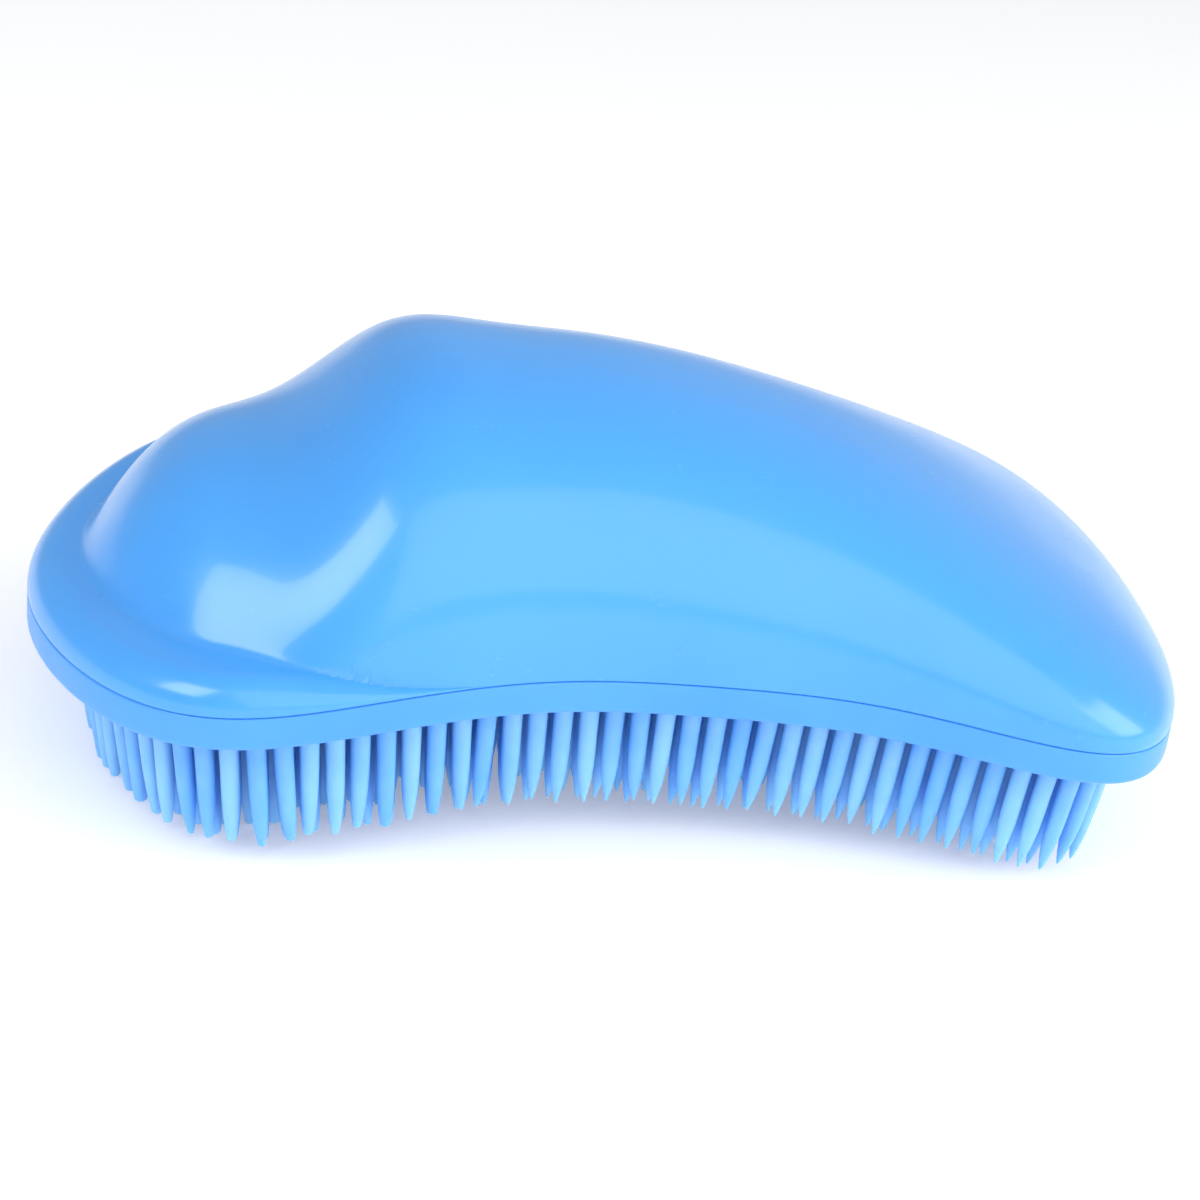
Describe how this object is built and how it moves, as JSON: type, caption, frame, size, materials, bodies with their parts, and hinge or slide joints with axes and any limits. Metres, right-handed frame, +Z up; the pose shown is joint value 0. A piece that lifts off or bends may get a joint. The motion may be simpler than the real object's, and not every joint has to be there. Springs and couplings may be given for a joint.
{
  "type": "palm-held grooming brush",
  "caption": "Palm-held moulded grooming brush for a horse's mane, tail and coat, with a crowned hollow shell, a finger brim and flexible tapered teeth.",
  "frame": {"origin": "on the plane that the tooth tips stand on, under the middle of the brush", "axes": "+X from the nose with the finger brim to the tail, +Y across, +Z up out of the palm shell"},
  "size_m": [0.125, 0.0654, 0.0476],
  "materials": {
    "shell_plastic": "gloss",
    "ring_plastic": "satin",
    "pad_elastomer": "satin",
    "tooth_plastic": "satin"
  },
  "bodies": {
    "root": {"top_shell": "shell_plastic", "base_ring": "ring_plastic", "tooth_pad": "pad_elastomer", "edge_teeth": "tooth_plastic", "second_row_teeth": "tooth_plastic", "field_teeth": "tooth_plastic"}
  },
  "joints": []
}
